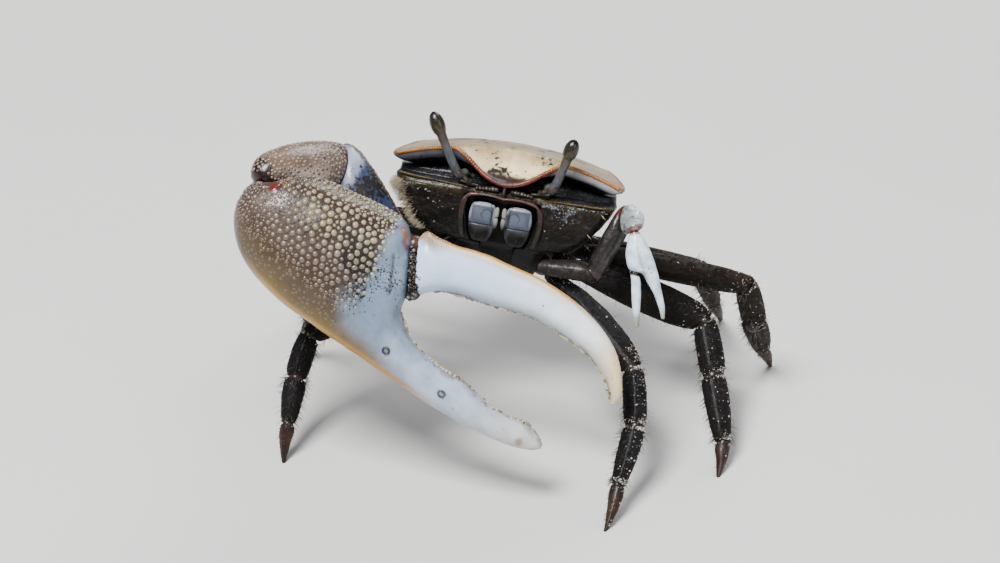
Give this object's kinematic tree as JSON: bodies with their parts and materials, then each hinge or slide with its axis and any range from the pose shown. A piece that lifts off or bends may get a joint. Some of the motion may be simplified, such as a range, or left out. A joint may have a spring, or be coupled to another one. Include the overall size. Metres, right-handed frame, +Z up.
{
  "type": "fiddler crab",
  "caption": "Life-size male fiddler crab standing still, with one great granular claw held low across its front and a small claw folded.",
  "frame": {"origin": "on the floor, below the middle of the crab's box", "axes": "the crab faces -Y, its left side is +X, +Z is up"},
  "size_m": [0.0682, 0.0602, 0.0425],
  "materials": {
    "carapace": "cream shell with tan and orange margins and dark specks",
    "face": "damp dark brown shell with a brown-gold ridge under the eyes",
    "belly": "grey-brown tail flap with pale seams",
    "mouth": "pale lavender plates with white rims",
    "eyestalk": "blue-grey stalk, olive near the cornea",
    "cornea": "glossy dark olive cornea",
    "leg": "near-black shell with a slate sheen and clinging sand grains",
    "toe": "reddish-brown toe",
    "arm": "lavender-blue arm with mud and an orange-brown top edge",
    "carpus": "mauve-brown with pearly granules",
    "great_palm": "granular cream-grey palm, tan below and bluish white at the finger",
    "white_claw": "smooth bluish-white shell with an orange upper line"
  },
  "bodies": {
    "root": {"abdomen": "belly", "antenna_left": "face", "antenna_right": "face", "carapace": "carapace", "cornea_left": "cornea", "cornea_right": "cornea", "eyestalk_left": "eyestalk", "eyestalk_right": "eyestalk", "leg_left_1_carpus": "leg", "leg_left_1_dactyl": "toe", "leg_left_1_merus": "leg", "leg_left_1_propodus": "leg", "leg_left_2_carpus": "leg", "leg_left_2_dactyl": "toe", "leg_left_2_merus": "leg", "leg_left_2_propodus": "leg", "leg_left_3_carpus": "leg", "leg_left_3_dactyl": "toe", "leg_left_3_merus": "leg", "leg_left_3_propodus": "leg", "leg_left_4_carpus": "leg", "leg_left_4_dactyl": "toe", "leg_left_4_merus": "leg", "leg_left_4_propodus": "leg", "leg_right_1_carpus": "leg", "leg_right_1_dactyl": "toe", "leg_right_1_merus": "leg", "leg_right_1_propodus": "leg", "leg_right_2_carpus": "leg", "leg_right_2_dactyl": "toe", "leg_right_2_merus": "leg", "leg_right_2_propodus": "leg", "leg_right_3_carpus": "leg", "leg_right_3_dactyl": "toe", "leg_right_3_merus": "leg", "leg_right_3_propodus": "leg", "leg_right_4_carpus": "leg", "leg_right_4_dactyl": "toe", "leg_right_4_merus": "leg", "leg_right_4_propodus": "leg", "major_claw_carpus": "carpus", "major_claw_dactyl": "white_claw", "major_claw_ischium": "face", "major_claw_merus": "arm", "major_claw_propodus": "great_palm", "maxilliped_left": "mouth", "maxilliped_right": "mouth", "minor_claw_carpus": "white_claw", "minor_claw_dactyl": "white_claw", "minor_claw_ischium": "face", "minor_claw_merus": "arm", "minor_claw_propodus": "white_claw", "palp_left": "white_claw", "palp_right": "white_claw", "thorax": "face"}
  },
  "joints": []
}
